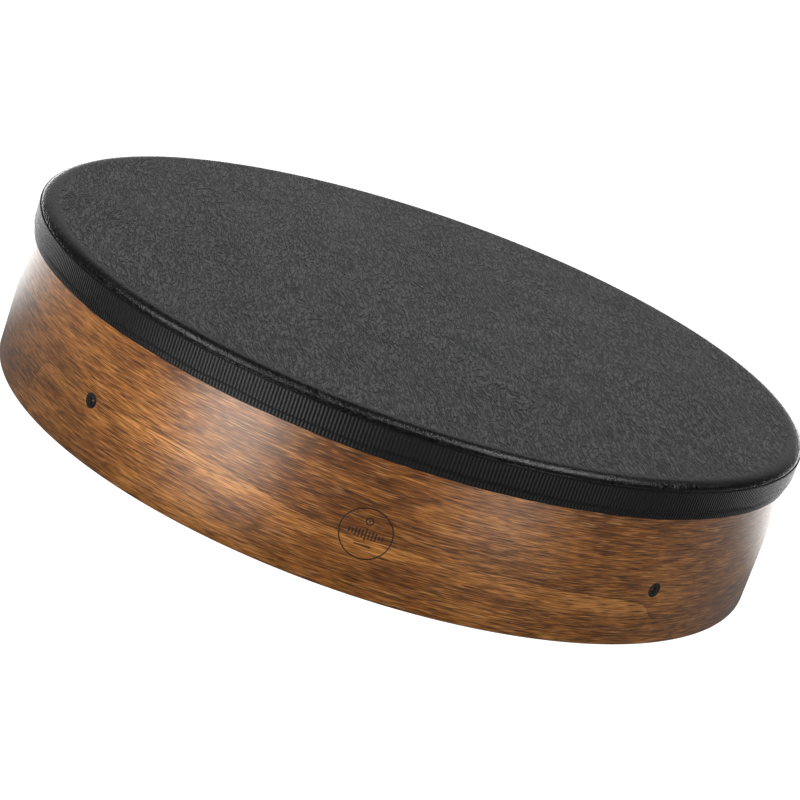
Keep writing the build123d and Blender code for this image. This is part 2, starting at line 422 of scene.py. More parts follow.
def wall_wood(name, seam_deg, radius, seed, stops, coat, engraved=False):
    g = Nodes(name)
    u, v, w = around(g, seam_deg, radius)
    tone, fibre, fine = wood_value(g, u, v, w, seed)
    if engraved:
        # one long growth line, paler below it, that runs through the ring and closes in a point at both ends
        a = math.radians(RING_DEG - (seam_deg + 180.0))
        a = math.atan2(math.sin(a), math.cos(a))
        du = g.sub(u, a * radius)  # from the ring, along the wall
        dv = g.sub(v, RING_Z)
        lo_x, hi_x, lo_y, hi_y = -260.0 * MM, 205.0 * MM, -24.0, 12.0
        n = g.t.nodes.new("ShaderNodeFloatCurve")
        curve = n.mapping.curves[0]
        pts = [((x * MM - lo_x) / (hi_x - lo_x), (y - lo_y) / (hi_y - lo_y)) for x, y in
               [(-259, -22)] + GROWTH_LINE + [(203, -23)]]
        for x, y in pts[1:-1]:
            curve.points.new(x, y)
        curve.points[0].location = pts[0]
        curve.points[len(curve.points) - 1].location = pts[-1]
        n.mapping.update()
        g.put(n.inputs["Value"], g.range(du, lo_x, hi_x))
        edge = g.mul(g.add(g.mul(n.outputs[0], hi_y - lo_y), lo_y), MM)
        edge = g.add(edge, g.mul(g.sub(g.noise(g.vec(g.mul(u, 90.0), g.mul(v, 30.0), 3.1), 1.0, 2.0, 0.5), 0.5), 1.6 * MM))
        below = g.sub(edge, dv)
        within = g.mul(g.range(du, -0.259, -0.252), g.range(du, 0.203, 0.196))
        pale = g.mul(
            g.mul(g.range(below, -0.25 * MM, 0.45 * MM), g.range(below, 2.0 * MM, 17 * MM, 1.0, 0.25, smooth=True)), within)
        dark = g.mul(
            g.mul(g.range(below, 0.1 * MM, -0.5 * MM, 0.0, 1.0), g.range(below, -0.8 * MM, -8 * MM, 1.0, 0.0, smooth=True)), within)
        thin = g.mul(g.range(g.math("ABSOLUTE", g.add(below, 0.35 * MM)), 0.15 * MM, 0.6 * MM, 1.0, 0.0), within)
        tone = g.add(tone, g.sub(g.mul(pale, 0.08), g.add(g.mul(dark, 0.05), g.mul(thin, 0.10))))
    color = g.ramp(tone, stops)
    flecks = g.range(g.noise(g.vec(g.mul(u, 75.0), g.mul(v, 1650.0), 0.7), 1.0, 1.0, 0.5), 0.57, 0.70)
    color = g.mix(g.mul(flecks, 0.92), color, (0.011, 0.0030, 0.0006))
    pale_fleck = g.range(g.noise(g.vec(g.mul(u, 68.0), g.mul(v, 1500.0), 5.7), 1.0, 1.0, 0.5), 0.59, 0.74)
    color = g.mix(g.mul(pale_fleck, 0.58), color, (0.33, 0.165, 0.062))
    height = g.add(g.mul(fibre, 0.6), g.mul(fine, 0.4))
    normal = g.bump(height, 0.35, 0.10 * MM)
    rough = g.range(fibre, 0.2, 0.8, 0.48, 0.40)
    if engraved:
        cut = g.attribute("engrave")
        color = g.mix(g.range(cut, 0.0, 0.35), color, (0.0045, 0.0018, 0.0009))
        # burnt motif: a small drum seen from above, a row of sound bars and a short line
        p = 1.95 * MM
        k = g.math("ROUND", g.math("DIVIDE", du, p))
        x0 = g.mul(k, p)
        inside = g.math("LESS_THAN", g.math("ABSOLUTE", k), 5.5)
        wave = g.math("ABSOLUTE", g.math("COSINE", g.mul(x0, 620.0)))
        fade = g.math("EXPONENT", g.mul(g.mul(x0, x0), -1.0 / (8.2 * MM) ** 2))
        tall = g.add(0.75 * MM, g.mul(g.mul(fade, g.add(0.35, g.mul(wave, 0.65))), 3.1 * MM))
        off = g.math("ABSOLUTE", g.sub(du, x0))
        up_ = g.math("ABSOLUTE", g.sub(dv, -0.4 * MM))
        bars = g.mul(inside, g.mul(g.range(off, 0.38 * MM, 0.52 * MM, 1.0, 0.0), g.range(g.sub(up_, tall), -0.08 * MM, 0.06 * MM, 1.0, 0.0)))
        cz = g.sub(dv, 7.6 * MM)
        rr = g.math("SQRT", g.add(g.mul(du, du), g.mul(cz, cz)))
        disc = g.math("MAXIMUM", g.range(g.math("ABSOLUTE", g.sub(rr, 2.05 * MM)), 0.36 * MM, 0.50 * MM, 1.0, 0.0), g.range(rr, 0.62 * MM, 0.78 * MM, 1.0, 0.0))
        lz = g.math("ABSOLUTE", g.sub(dv, -7.3 * MM))
        line = g.mul(g.range(lz, 0.34 * MM, 0.46 * MM, 1.0, 0.0), g.range(g.math("ABSOLUTE", du), 4.9 * MM, 5.1 * MM, 1.0, 0.0))
        mark = g.math("MAXIMUM", g.math("MAXIMUM", bars, disc), line)
        near = g.range(w, -1.0 * MM, -0.8 * MM)  # only on the outer face
        mark = g.mul(mark, near)
        color = g.mix(g.mul(mark, 0.94), color, (0.0060, 0.0024, 0.0012))
        rough = g.add(rough, g.mul(mark, 0.25))
        normal = g.bump(mark, 0.5, -0.15 * MM, normal)
    g.set(color=color, rough=rough, ior=1.42, spec=0.5, tint=(1.0, 0.80, 0.66), normal=normal, coat=coat, coat_rough=0.26, coat_ior=1.28)
    return g.mat


def edge_wood(name, seam_deg, radius, seed, end_grain):
    """A core veneer, seen only on the back edge: along the fibres it is pale, across them dark."""
    g = Nodes(name)
    u, v, w = around(g, seam_deg, radius)
    if end_grain:
        n1 = g.noise(g.vec(g.mul(u, 900.0), g.mul(v, 60.0), g.mul(w, 500.0)), 1.0, 3.0, 0.6)
        n2 = g.noise(g.vec(g.mul(u, 60.0), g.mul(v, 20.0), g.mul(w, 90.0)), 1.0, 2.0, 0.5)
        tone = g.add(g.mul(n1, 0.7), g.mul(n2, 0.3))
        color = g.ramp(tone, [(0.3, srgb(96, 60, 34)), (0.55, srgb(132, 90, 56)), (0.75, srgb(154, 110, 72))])
        height = n1
    else:
        n1 = g.noise(g.vec(g.mul(u, 70.0), g.mul(v, 300.0), g.mul(w, 1600.0)), 1.0, 3.0, 0.6)
        n2 = g.noise(g.vec(g.mul(u, 14.0), g.mul(v, 20.0), g.mul(w, 90.0)), 1.0, 2.0, 0.5)
        tone = g.add(g.mul(n1, 0.6), g.mul(n2, 0.4))
        color = g.ramp(tone, [(0.3, srgb(150, 108, 70)), (0.55, srgb(178, 134, 92)), (0.75, srgb(196, 154, 112))])
        height = n1
    g.set(color=color, rough=g.range(n1, 0.2, 0.8, 0.62, 0.48), spec=0.35, normal=g.bump(height, 0.4, 0.12 * MM),
          coat=0.15, coat_rough=0.3)
    return g.mat


def bar_wood(name, deg, seed):
    g = Nodes(name)
    x, y, z = g.xyz(g.where())[:3]
    a = math.radians(deg)
    u = g.add(g.mul(x, math.cos(a)), g.mul(y, math.sin(a)))
    v = g.sub(g.mul(y, math.cos(a)), g.mul(x, math.sin(a)))
    tone, fibre, fine = wood_value(g, u, v, z, seed, rings=3.2)
    color = g.ramp(tone, WARM)
    normal = g.bump(g.add(g.mul(fibre, 0.6), g.mul(fine, 0.4)), 0.35, 0.12 * MM)
    g.set(color=color, rough=g.range(fibre, 0.2, 0.8, 0.52, 0.40), spec=0.4, normal=normal, coat=0.35, coat_rough=0.2)
    return g.mat


# ------------------------------------------------------------------ head and ribbon materials
def leather():
    g = Nodes("napa_top")
    x, y, z = g.xyz(g.where())[:3]
    a = math.radians(6.0)  # the creases run nearly along Y
    s = g.add(g.mul(x, math.cos(a)), g.mul(y, math.sin(a)))  # across the creases
    t = g.sub(g.mul(y, math.cos(a)), g.mul(x, math.sin(a)))  # along them
    bend = g.sub(g.noise(g.vec(g.mul(s, 15.0), g.mul(t, 12.0), g.mul(z, 15.0)), 1.0, 2.0, 0.5), 0.5)
    bend2 = g.sub(g.noise(g.vec(g.mul(s, 75.0), g.mul(t, 40.0), 4.0), 1.0, 1.0, 0.5), 0.5)
    s2 = g.add(s, g.add(g.mul(bend, 26 * MM), g.mul(bend2, 4.0 * MM)))
    patch = g.noise(g.vec(g.mul(s, 30.0), g.mul(t, 16.0), 9.0), 1.0, 2.0, 0.5)
    patch2 = g.noise(g.vec(g.mul(s, 8.0), g.mul(t, 5.0), 2.0), 1.0, 1.0, 0.5)
    # long creases: thin valleys of a ridged noise
    n1 = g.noise(g.vec(g.mul(s2, 400.0), g.mul(t, 56.0), g.mul(z, 380.0)), 1.0, 1.0, 0.5, 0.12)
    v1 = g.math("ABSOLUTE", g.sub(n1, 0.5))
    crease = g.range(v1, 0.0, 0.085, 0.0, 1.0, smooth=True)
    # shorter ones between them
    n2 = g.noise(g.vec(g.mul(s2, 620.0), g.mul(t, 95.0), g.mul(z, 620.0)), 1.0, 1.0, 0.5, 0.2)
    v2 = g.math("ABSOLUTE", g.sub(n2, 0.5))
    net = g.range(v2, 0.0, 0.10, 0.0, 1.0, smooth=True)
    cell = g.range(g.voronoi(g.vec(g.mul(s2, 1050.0), g.mul(t, 640.0), g.mul(z, 1050.0))), 0.15, 0.75, 1.0, 0.0)
    flat = g.range(g.math("SQRT", g.add(g.mul(x, x), g.mul(y, y))), 0.2425, 0.2475, 1.0, 0.22, smooth=True)
    depth = g.range(patch, 0.38, 0.62, 0.55, 1.0)
    height = g.add(g.add(g.mul(g.mul(g.sub(crease, 1.0), depth), 0.75), g.mul(net, 0.34)), g.mul(cell, 0.16))
    shade = g.add(g.mul(crease, 0.55), g.add(g.mul(net, 0.25), g.mul(patch, 0.20)))
    height = g.mul(height, flat)
    # painted shade: the colour is darker in the long and short crease valleys and lighter on the raised grain cells,
    # following the relief
    crease_shade_mask = g.mul(g.mul(g.sub(1.0, crease), depth), g.sub(1.0, 0.0))
    shade = g.sub(g.add(0.62, g.mul(g.sub(net, 0.6), 0.85)), g.mul(crease_shade_mask, 0.95))
    shade = g.add(shade, g.add(g.mul(g.sub(cell, 0.5), 0.16), g.mul(g.sub(patch2, 0.5), 0.16)))
    # the grain is stretched thin and polished where the skin turns over the edge, and the colour there is painted
    # darker as a band of painted shade
    shade = g.mul(shade, g.range(flat, 0.22, 1.0, 0.18, 1.0))
    color = g.ramp(shade, [(0.0, (0.0014, 0.0014, 0.0016)), (0.35, (0.0070, 0.0071, 0.0074)), (0.65, (0.0200, 0.0202, 0.0207)), (1.0, (0.0430, 0.0432, 0.0438))])
    rough = g.range(g.add(g.mul(shade, 0.6), g.mul(patch2, 0.4)), 0.2, 0.9, 0.34, 0.26)
    rough = g.sub(rough, g.range(flat, 0.22, 1.0, 0.07, 0.0))
    g.set(color=color, rough=rough, ior=1.335, spec=0.5, normal=g.bump(height, 1.0, 0.55 * MM))
    return g.mat


def backing():
    """The woven textile that carries the synthetic leather, seen inside the drum."""
    g = Nodes("woven_backing")
    x, y, z = g.xyz(g.where())[:3]
    p = 2 * math.pi / (0.62 * MM)
    wx = g.math("SINE", g.mul(x, p))
    wy = g.math("SINE", g.mul(y, p))
    over = g.mul(wx, wy)
    soft = g.noise(g.where(), 240.0, 3.0, 0.6)
    blot = g.noise(g.where(), 9.0, 2.0, 0.5)
    tone = g.add(g.mul(g.range(over, -1, 1), 0.35), g.add(g.mul(soft, 0.35), g.mul(blot, 0.3)))
    color = g.ramp(tone, [(0.25, srgb(46, 45, 44)), (0.6, srgb(72, 71, 69)), (0.8, srgb(88, 87, 84))])
    g.set(color=color, rough=0.9, spec=0.2, normal=g.bump(g.add(over, g.mul(soft, 1.5)), 0.4, 0.12 * MM), sheen=0.15, sheen_rough=0.6)
    return g.mat


def grosgrain():
    g = Nodes("grosgrain")
    x, y, z = g.xyz(g.where())[:3]
    ang = g.math("ARCTAN2", x, g.mul(y, -1.0))
    u = g.mul(ang, RIBBON_R)
    warp = g.math("SINE", g.mul(z, 2 * math.pi / (0.42 * MM)))  # fine yarns along the ribbon
    fuzz = g.noise(g.vec(g.mul(u, 900.0), g.mul(z, 2600.0), 0.0), 1.0, 3.0, 0.65)
    worn = g.noise(g.vec(g.mul(u, 14.0), g.mul(z, 60.0), 2.0), 1.0, 2.0, 0.5)
    crown = g.attribute("crown")
    # painted shade: the rib valleys are coloured near black and the crowns lighter, as light would fall on the ribs
    tone = g.add(g.mul(crown, 0.68), g.add(g.mul(fuzz, 0.20), g.mul(worn, 0.12)))
    color = g.ramp(tone, [(0.20, (0.0002, 0.0002, 0.0002)), (0.5, (0.0012, 0.0012, 0.0013)), (0.9, (0.0066, 0.0066, 0.0068))])
    height = g.add(g.mul(warp, 0.25), g.mul(fuzz, 0.75))
    g.set(color=color, rough=g.range(crown, 0.0, 1.0, 0.75, 0.27), ior=1.23, spec=0.5, normal=g.bump(height, 0.5, 0.10 * MM))
    return g.mat


def black_screw():
    g = Nodes("black_oxide")
    n = g.noise(g.where(), 1500.0, 3.0, 0.6)
    worn = g.noise(g.where(), 420.0, 2.0, 0.5)
    color = g.ramp(g.add(g.mul(n, 0.5), g.mul(worn, 0.5)), [(0.35, (0.010, 0.010, 0.011)), (0.55, (0.022, 0.022, 0.024)), (0.72, (0.050, 0.050, 0.052))])
    g.set(color=color, rough=g.range(worn, 0.3, 0.7, 0.30, 0.46), metal=0.75, spec=0.5, normal=g.bump(n, 0.25, 0.03 * MM))
    return g.mat


# ------------------------------------------------------------------ shell: outer ply with the ring and screw holes
def outer_ply():
    """Closed ring. Its outer and inner faces are grids with round patches let in for the engraved ring and the screws."""
    b = Builder()
    step = 0.5
    cols = list(np.arange(-180.0, 180.0, step))
    cols += [SEAM_DEGS[0] - 0.05, SEAM_DEGS[0] + 0.05]
    cols = sorted(set(round(c, 4) for c in cols))
    col_of = {c: i for i, c in enumerate(cols)}
    n = len(cols)
    cell = math.radians(step) * R_OUT
    half = 9
    z_lo, z_hi = RING_Z - half * cell, RING_Z + half * cell
    rows = [BACK_R + (z_lo - BACK_R) * k / 6 for k in range(6)]
    rows += [z_lo + (z_hi - z_lo) * k / (2 * half) for k in range(2 * half + 1)]
    top_z = EDGE_Z
    rows += [z_hi + (top_z - z_hi) * k / 9 for k in range(1, 10)]
    r_in = R_OUT - PLY
    # outer round at the back edge, from the ply's inner side to the face
    a_end = math.degrees(math.acos(max(-1.0, min(1.0, (r_in - (R_OUT - BACK_R)) / BACK_R))))
    low = arc(R_OUT - BACK_R, BACK_R, BACK_R, -a_end, 0.0, 6)[:-1]
    high = ellipse(0.0, 0.0, math.degrees(math.acos((r_in - CREST_R) / EDGE_A)), 6)[1:]
    seam = np.array([0.16 * MM if abs(c - SEAM_DEGS[0]) < 1e-6 else 0.0 for c in cols])
    degs = np.array(cols)
    loops = []
    for r, z in low:
        loops.append(b.add(on_cyl(degs, r - seam * 0.6, z)))
    first_row = len(loops)
    for z in rows:
        loops.append(b.add(on_cyl(degs, R_OUT - seam, z)))
    for r, z in high:
        loops.append(b.add(on_cyl(degs, r, z)))
    inner_rows = []
    for z in reversed(rows):
        inner_rows.append(len(loops))
        loops.append(b.add(on_cyl(degs, r_in, z)))
    inner_rows = inner_rows[::-1]  # inner_rows[k] is the loop of rows[k]

    ring_c = col_of[RING_DEG]
    ring_rows = (6, 6 + 2 * half)  # indexes into rows
    patches = [("ring", ring_c - half, ring_c + half, *ring_rows)]
    k_mid = min(range(len(rows)), key=lambda k: abs(rows[k] - SCREW_Z))
    for d in SCREW_DEGS:
        c = col_of[d]
        patches.append(("screw", c - 3, c + 3, k_mid - 3, k_mid + 3))

    def inside(kind_ok, c, k):
        return any(p[1] <= c < p[2] and p[3] <= k < p[4] and (p[0] in kind_ok) for p in patches)

    total = len(loops)
    inner_of = {loop: k for k, loop in enumerate(inner_rows)}
    for i in range(total):
        j = (i + 1) % total
        A, B = loops[i], loops[j]
        on_outer = first_row <= i < first_row + len(rows) - 1
        on_inner = i in inner_of and j in inner_of
        for c in range(n):
            if on_outer and inside(("ring", "screw"), c, i - first_row):
                continue
            if on_inner and inside(("screw",), c, inner_of[j]):
                continue
            d = (c + 1) % n
            b.f.append((A[c], A[d], B[d], B[c]))

    def boundary(p, loop_of):
        _, c0, c1, k0, k1 = p
        ids = [loops[loop_of(k0)][c] for c in range(c0, c1)]
        ids += [loops[loop_of(k)][c1] for k in range(k0, k1)]
        ids += [loops[loop_of(k1)][c] for c in range(c1, c0, -1)]
        ids += [loops[loop_of(k)][c0] for k in range(k1, k0, -1)]
        return ids

    def circle(deg0, z0, radius, count, face_r, depth=0.0):
        a = np.radians(-135.0 + 360.0 * np.arange(count) / count)
        du, dv = radius * np.cos(a), radius * np.sin(a)
        return on_cyl(deg0 + np.degrees(du / face_r), face_r - depth, z0 + dv)

    def between(ids, points, share):
        edge = np.array([b.v[k] for k in ids])
        mid = edge * (1 - share) + np.asarray(points) * share
        r = np.hypot(edge[:, 0], edge[:, 1]) * (1 - share) + np.hypot(points[:, 0], points[:, 1]) * share
        s = r / np.hypot(mid[:, 0], mid[:, 1])
        mid[:, 0] *= s
        mid[:, 1] *= s
        return mid

    # the engraved ring
    ids = boundary(patches[0], lambda k: first_row + k)
    N = len(ids)
    rim = circle(RING_DEG, RING_Z, 17.6 * MM, N, R_OUT)
    last = ids
    for share in (0.45, 0.8):
        loop = b.add(between(ids, rim, share))
        b.bridge(last, loop)
        last = loop
    loop = b.add(rim)
    b.bridge(last, loop)
    last = loop
    loop = b.add(circle(RING_DEG, RING_Z, 16.6 * MM, 2 * N, R_OUT))
    b.finer(last, loop)
    last = loop
    groove = [(16.05, 0.0), (15.80, 0.0), (15.68, 0.06), (15.56, 0.24), (15.42, 0.34), (15.22, 0.34),
              (15.06, 0.24), (14.94, 0.06), (14.82, 0.0), (14.5, 0.0), (13.4, 0.0)]
    for radius, depth in groove:
        loop = b.add(circle(RING_DEG, RING_Z, radius * MM, 2 * N, R_OUT, depth * MM), depth / 0.34)
        b.bridge(last, loop)
        last = loop
    loop = b.add(circle(RING_DEG, RING_Z, 11.0 * MM, N, R_OUT))
    b.coarser(last, loop)
    last = loop
    loop = b.add(circle(RING_DEG, RING_Z, 8.0 * MM, N, R_OUT))
    b.bridge(last, loop)
    last = loop
    loop = b.add(circle(RING_DEG, RING_Z, 5.0 * MM, N // 2, R_OUT))
    b.coarser(last, loop)
    last = loop
    loop = b.add(circle(RING_DEG, RING_Z, 2.4 * MM, N // 4, R_OUT))
    b.coarser(last, loop)
    b.fan(loop, b.add([on_cyl(RING_DEG, R_OUT, RING_Z)])[0])

    # the screw holes, through the ply
    for p, deg in zip(patches[1:], SCREW_DEGS):
        ids = boundary(p, lambda k: first_row + k)
        N = len(ids)
        rim = circle(deg, SCREW_Z, 5.4 * MM, N, R_OUT)
        loop = b.add(between(ids, rim, 0.5))
        b.bridge(ids, loop)
        last = loop
        loop = b.add(rim)
        b.bridge(last, loop)
        last = loop
        loop = b.add(circle(deg, SCREW_Z, 5.0 * MM, 2 * N, R_OUT))
        b.finer(last, loop)
        last = loop
        walls = [(4.78, 0.0), (4.66, 0.05), (4.60, 0.18), (4.58, 0.62), (3.5, 1.70)]
        for radius, depth in walls:
            loop = b.add(circle(deg, SCREW_Z, radius * MM, 2 * N, R_OUT, depth * MM), 0.5 if depth else 0.0)
            b.bridge(last, loop)
            last = loop
        # the same hole met from the inner face
        start = len(b.f)
        ids = boundary(p, lambda k: inner_rows[k])
        rim = circle(deg, SCREW_Z, 5.4 * MM, N, r_in)
        loop = b.add(rim)
        b.bridge(ids, loop)
        far = b.add(circle(deg, SCREW_Z, 3.5 * MM, 2 * N, r_in))
        b.finer(loop, far)
        b.flip(start)
        b.bridge(last, far)
    ob = b.object("shell_outer_veneer")
    cut = np.zeros(len(b.v))
    for k, value in b.tag.items():
        cut[k] = value
    point_attribute(ob, "engrave", cut)
    return ob


BACK_R = 2.0 * MM
shell = outer_ply()
shell.data.materials.append(wall_wood("veneer_outer", SEAM_DEGS[0], R_OUT, 4.9, WARM, 0.5, engraved=True))
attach(shell, "root")
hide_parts("outer_ply")


# ------------------------------------------------------------------ the four other plies
def wall_z_low(r):
    """Height of the wall's back edge at radius r, with its rounded corners."""
    for centre, inner in ((R_OUT - BACK_R, False), (R_IN + BACK_R, True)):
        d = centre - r if inner else r - centre
        if d > 0:
            return BACK_R - math.sqrt(max(0.0, BACK_R ** 2 - d ** 2))
    return 0.0


def wall_z_high(r):
    if r > CREST_R:
        return EDGE_Z + EDGE_B * math.sqrt(max(0.0, 1.0 - ((r - CREST_R) / EDGE_A) ** 2))
    d = R_IN + 1.0 * MM - r
    if d > 0:
        return SHELL_H - 1.0 * MM + math.sqrt(max(0.0, (1.0 * MM) ** 2 - d ** 2))
    return SHELL_H


core_stops = WARM
ply_nodes = ("outer_core_ply", "middle_core_ply", "inner_core_ply", "inner_ply")
for i, node in enumerate(ply_nodes, start=1):
    hi, lo = R_OUT - i * PLY, R_OUT - (i + 1) * PLY
    # the radii at which the back edge and bearing edge are drawn, closer at the rounds
    radii = [hi + (lo - hi) * (1 - math.cos(math.pi / 2 * k / 7)) for k in range(8)] if i == 4 else [
        hi + (lo - hi) * k / 5 for k in range(6)]
    if i == 4:
        radii = [hi + (lo - hi) * math.sin(math.pi / 2 * k / 8) for k in range(9)]
    prof = [(r, wall_z_low(r)) for r in radii]  # along the back edge, inward
    prof += [(lo, wall_z_low(lo) + (wall_z_high(lo) - wall_z_low(lo)) * k / 12) for k in range(1, 12)]
    prof += [(r, wall_z_high(r)) for r in reversed(radii)]
    # each veneer's edge is a hair lower where the glue line runs
    seam_deg = SEAM_DEGS[i] if SEAM_DEGS[i] <= 180 else SEAM_DEGS[i] - 360
    degs = sorted(set([round(d, 4) for d in np.arange(-180.0, 180.0, 0.5)] + [seam_deg - 0.05, seam_deg, seam_deg + 0.05]))
    degs = np.array(degs)
    at_seam = np.where(np.abs(degs - seam_deg) < 1e-6, 1.0, 0.0)
    inner_points = set(range(len(radii) - 1, len(radii) + 11))
    ob = lathe("shell_" + node.replace("_ply", "_veneer"), prof, degs,
               (lambda k, d, s=at_seam, pts=inner_points: s * 0.16 * MM if k in pts else 0.0))
    if i == 4:
        ob.data.materials.append(wall_wood("veneer_inner", seam_deg, lo, 7.9, WARM, 0.25))
    else:
        ob.data.materials.append(edge_wood(f"veneer_core_{i}", seam_deg, (hi + lo) / 2, 3.0 * i, end_grain=(i % 2 == 1)))
    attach(ob, "root")
    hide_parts(node)


# ------------------------------------------------------------------ head
def drumhead():
    """Flat disc, a shoulder that turns over the bearing edge, and the skirt under the ribbon."""
    b = Builder()
    degs = np.arange(-180.0, 180.0, 0.5)
    rng = np.random.default_rng(7)
    # slow swell of the stretched skin, a few hundredths to a tenth of a millimetre
    waves = [(rng.uniform(25, 90), rng.uniform(0, 2 * math.pi), rng.uniform(0, 2 * math.pi)) for _ in range(14)]

    def swell(x, y, r):
        h = np.zeros_like(x)
        for k, phase, turn in waves:
            h = h + np.sin(k * (x * math.cos(turn) + y * math.sin(turn)) + phase)
        return 0.020 * MM * h * np.clip((0.245 - r) / 0.03, 0, 1)

    top = [0.010, 0.025, 0.045, 0.065, 0.085, 0.105, 0.125, 0.145, 0.165, 0.185, 0.2, 0.213, 0.224, 0.233, 0.240, 0.2440]
    prof = [(r, HEAD_TOP) for r in top]
    prof += ellipse(HEAD_T, 90.0, 0.0, 20)
    prof += [(HEAD_R, EDGE_Z - (EDGE_Z - SKIRT_Z) * k / 3) for k in (1, 2)]
    prof += [(HEAD_R, SKIRT_Z + 0.15 * MM), (HEAD_R - 0.15 * MM, SKIRT_Z), (R_OUT + 0.1 * MM, SKIRT_Z), (R_OUT, SKIRT_Z + 0.1 * MM)]
    prof += [(R_OUT, SKIRT_Z + (EDGE_Z - SKIRT_Z) * k / 3) for k in (1, 2)]
    prof += ellipse(0.0, 0.0, 90.0, 10)
    n_under = len(prof)
    prof += [(r, SHELL_H) for r in (0.2440, 0.235, 0.21, 0.18, 0.14, 0.10, 0.06, 0.025)]
    loops = []
    for k, (r, z) in enumerate(prof):
        p = on_cyl(degs, r, np.full(len(degs), z))
        if r < 0.2445:
            p[:, 2] += swell(p[:, 0], p[:, 1], np.hypot(p[:, 0], p[:, 1]))
        loops.append(b.add(p))
    c_top = b.add([(0, 0, HEAD_TOP + float(swell(np.zeros(1), np.zeros(1), np.zeros(1))[0]))])[0]
    c_low = b.add([(0, 0, SHELL_H + float(swell(np.zeros(1), np.zeros(1), np.zeros(1))[0]))])[0]
    n = len(degs)
    for i in range(len(loops) - 1):
        A, B = loops[i], loops[i + 1]
        for c in range(n):
            d = (c + 1) % n
            b.f.append((A[c], B[c], B[d], A[d]))
    for c in range(n):
        d = (c + 1) % n
        b.f.append((loops[0][c], loops[0][d], c_top))
        b.f.append((loops[-1][d], loops[-1][c], c_low))
    ob = b.object("synthetic_leather_head")
    low = np.zeros(len(ob.data.polygons), np.int32)
    start = (n_under - 1) * n
    low[start:(len(loops) - 1) * n] = 1
    low[(len(loops) - 1) * n + 1::2] = 1
    return ob, low


head, low = drumhead()
head.data.materials.append(leather())
head.data.materials.append(backing())
head.data.polygons.foreach_set("material_index", low)
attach(head, "root")
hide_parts("drumhead")


# ------------------------------------------------------------------ ribbon
def ribbon():
    """Grosgrain band with real ribs. It lies over the skirt, steps in below it, and its lower edge wavers."""
    ribs = 728
    per = 6
    n = ribs * per
    degs = 90.0 + 360.0 * np.arange(n) / n  # starts at the lap at the back
    phase = np.arange(n) % per
    crown = np.array([0.0, 0.55, 0.93, 1.0, 0.93, 0.55])[phase]
    rng = np.random.default_rng(11)
    t = np.radians(degs)

    def slow(amp, lo_k, hi_k, count):
        h = np.zeros(n)
        for _ in range(count):
            h += rng.normal() * np.sin(rng.integers(lo_k, hi_k) * t + rng.uniform(0, 6.28))
        return amp * h / math.sqrt(count)

    wav_low = slow(0.16 * MM, 5, 60, 10)
    wav_step = slow(0.35 * MM, 3, 40, 10)
    wav_top = slow(0.07 * MM, 5, 50, 8)
    lean = slow(0.22 * MM, 3, 30, 8)  # ribs slant and wander a little along the band
    # from the top edge down: (height, radius of the cloth's middle of the ribs' valleys, rib share)
    skirt_out = HEAD_R
    step_z = SKIRT_Z - 0.4 * MM
    outside = []
    z1, z0 = RIBBON_Z1, RIBBON_Z0
    outside.append((z1 - 0.00 * MM, skirt_out + 0.32 * MM, 0.0, "top"))
    outside.append((z1 - 0.10 * MM, skirt_out + 0.55 * MM, 0.15, "top"))
    outside.append((z1 - 0.45 * MM, skirt_out + 0.58 * MM, 0.35, "top"))
    for s in (0.08, 0.25, 0.45, 0.65, 0.85):
        outside.append((z1 - 0.45 * MM - s * (z1 - 0.45 * MM - (step_z + 0.6 * MM)), skirt_out + 0.56 * MM, 1.0, ""))
    outside.append((step_z + 0.6 * MM, skirt_out + 0.60 * MM, 1.0, "step"))
    outside.append((step_z - 0.2 * MM, skirt_out + 0.52 * MM, 1.0, "step"))
    outside.append((step_z - 0.9 * MM, skirt_out - 0.10 * MM, 1.0, "step"))
    outside.append((step_z - 1.7 * MM, R_OUT + 0.60 * MM, 1.0, "step"))
    outside.append((z0 + 2.4 * MM, R_OUT + 0.48 * MM, 1.0, "low"))
    outside.append((z0 + 1.0 * MM, R_OUT + 0.48 * MM, 1.0, "low"))
    outside.append((z0 + 0.35 * MM, R_OUT + 0.48 * MM, 0.6, "low"))
    outside.append((z0 + 0.08 * MM, R_OUT + 0.40 * MM, 0.3, "low"))
    inside = [
        (z0 + 0.05 * MM, R_OUT + 0.03 * MM, 0.0, "low"),
        (step_z - 2.0 * MM, R_OUT + 0.03 * MM, 0.0, "step"),
        (step_z + 0.1 * MM, skirt_out + 0.02 * MM, 0.0, "step"),
        (z1 - 0.15 * MM, skirt_out + 0.02 * MM, 0.0, "top"),
    ]
    amp = 0.34 * MM
    verts, crowns = [], []
    prof = outside + inside
    for z, r, share, kind in prof:
        zz = np.full(n, z)
        if kind == "low":
            zz = zz + wav_low
        elif kind == "step":
            zz = zz + wav_step * (0.35 if r < R_OUT + 0.1 * MM else 1.0)
        elif kind == "top":
            zz = zz + wav_top - 0.1 * MM
        along = (z - (z0 + z1) / 2) / (z1 - z0)
        d = degs + np.degrees(lean * along / r)
        verts.append(on_cyl(d, r + amp * share * (crown - 0.5) + 0.5 * amp * share * 0.0, zz))
        crowns.append(crown * share)
    v = np.concatenate(verts)
    P = len(prof)
    j = np.arange(n)
    jn = (j + 1) % n
    f = []
    for i in range(P):
        k = (i + 1) % P
        f.append(np.stack([i * n + j, k * n + j, k * n + jn, i * n + jn], axis=1))
    ob = mesh_object("grosgrain_cover_ribbon", v.tolist(), np.concatenate(f).tolist())
    point_attribute(ob, "crown", np.concatenate(crowns))
    return ob


band = ribbon()
band.data.materials.append(grosgrain())
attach(band, "root")
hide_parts("cover_ribbon")


